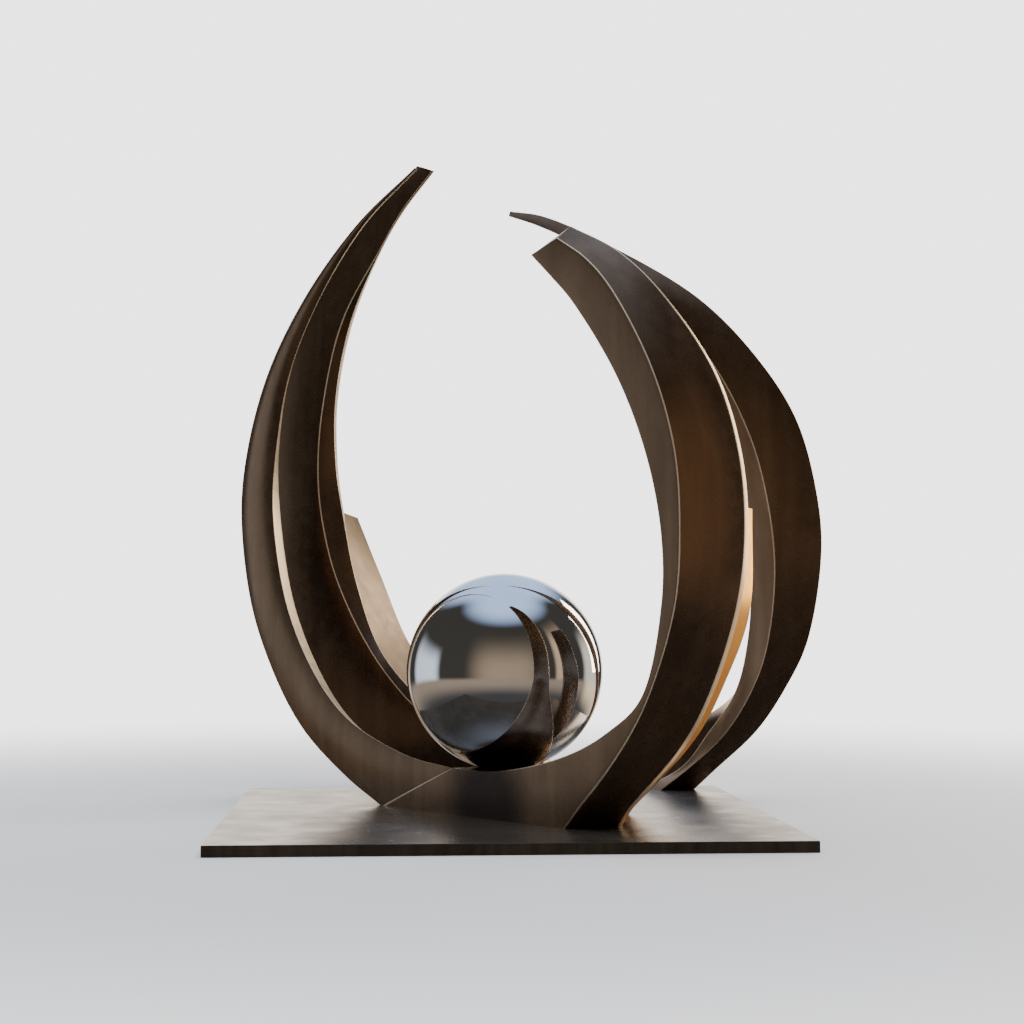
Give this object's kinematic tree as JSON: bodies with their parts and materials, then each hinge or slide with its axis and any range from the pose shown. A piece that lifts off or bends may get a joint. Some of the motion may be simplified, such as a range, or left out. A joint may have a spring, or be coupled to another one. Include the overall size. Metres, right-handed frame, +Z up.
{
  "type": "abstract metal sculpture",
  "caption": "Abstract outdoor sculpture: tall crescent blades of dark bronze-brown metal curve up round a mirror-polished ball on a square base plate.",
  "frame": {"origin": "centre of the base plate's underside", "axes": "+Z up, -Y towards the viewer's side, +X to the viewer's right, along the plate's edges"},
  "size_m": [4.798, 5.3329, 5.481],
  "materials": {
    "bronze": "satin bronze-brown",
    "plate": "satin, weathered",
    "mirror": "mirror polished stainless steel"
  },
  "bodies": {
    "root": {"base_plate": "plate", "mirror_ball": "mirror", "front_right": "bronze", "front_left": "bronze", "rear_left": "bronze", "rear_right": "bronze", "left_stub": "bronze", "right_stub": "bronze"}
  },
  "joints": []
}
